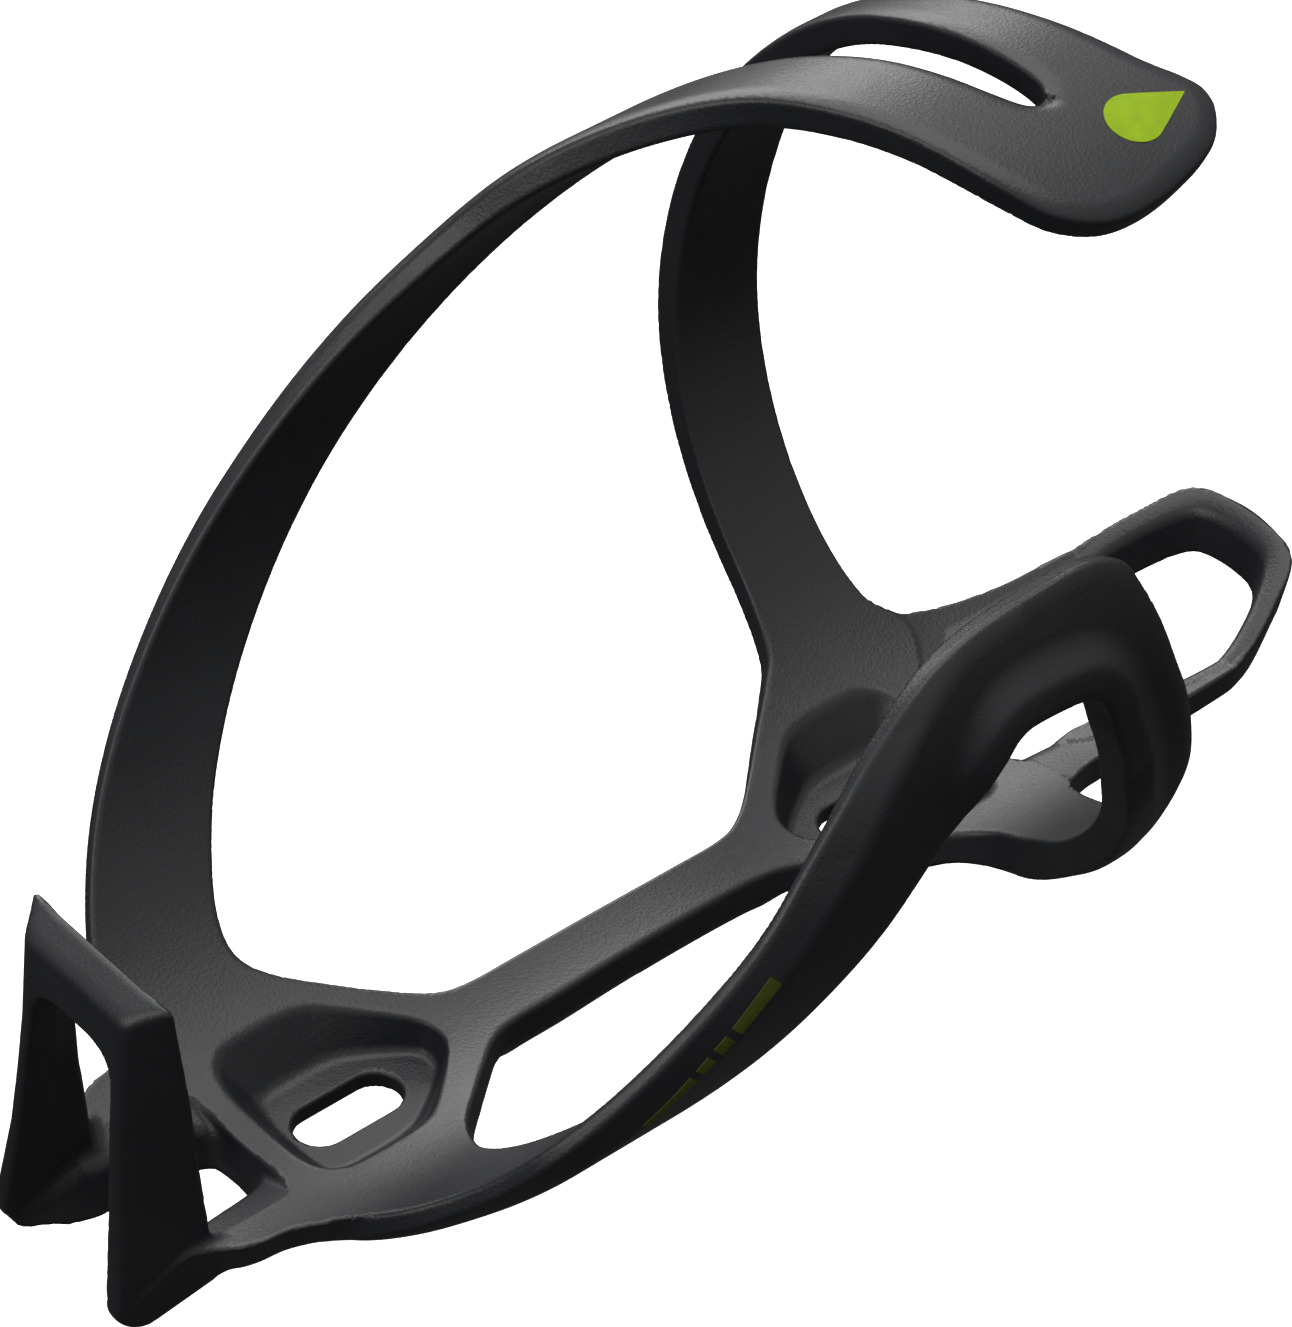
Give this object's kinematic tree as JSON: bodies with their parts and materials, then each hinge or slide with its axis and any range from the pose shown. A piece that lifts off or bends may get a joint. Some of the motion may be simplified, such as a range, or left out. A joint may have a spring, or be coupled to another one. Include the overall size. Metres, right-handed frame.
{
  "type": "water bottle cage",
  "caption": "Side-entry water bottle cage in satin black composite, with two hoop arms joined in a tongue, a side strap with a wing, a stop hook and a nose loop, on slotted bolt pads.",
  "frame": {"origin": "on the plane of the two bolt pads' backs, midway between the two bolt slots", "axes": "+X along the bottle's axis towards its mouth, +Z away from the bicycle's tube, +Y towards the side of the hoop arms"},
  "size_m": [0.1466, 0.0816, 0.0837],
  "materials": {
    "body": "satin, with a fine moulded grain",
    "print": "satin pad print"
  },
  "bodies": {
    "root": {"lower_plate": "body", "lower_pocket_wall": "body", "lower_bolt_pad": "body", "spine_bar": "body", "upper_plate": "body", "upper_pocket_wall": "body", "upper_bolt_pad": "body", "lower_arm_side": "body", "lower_arm_crown": "body", "upper_arm_side": "body", "upper_arm_crown": "body", "tongue": "body", "strap_root": "body", "side_strap": "body", "wing_rail": "body", "wing_corner": "body", "wing_post": "body", "wing_flange": "body", "hook_bar_near": "body", "hook_bar_far": "body", "hook_leg_near": "body", "hook_leg_far": "body", "stop_ridge": "body", "loop_bar_near": "body", "loop_bar_far": "body", "loop_nose": "body", "tongue_mark": "print", "strap_mark": "print"}
  },
  "joints": []
}
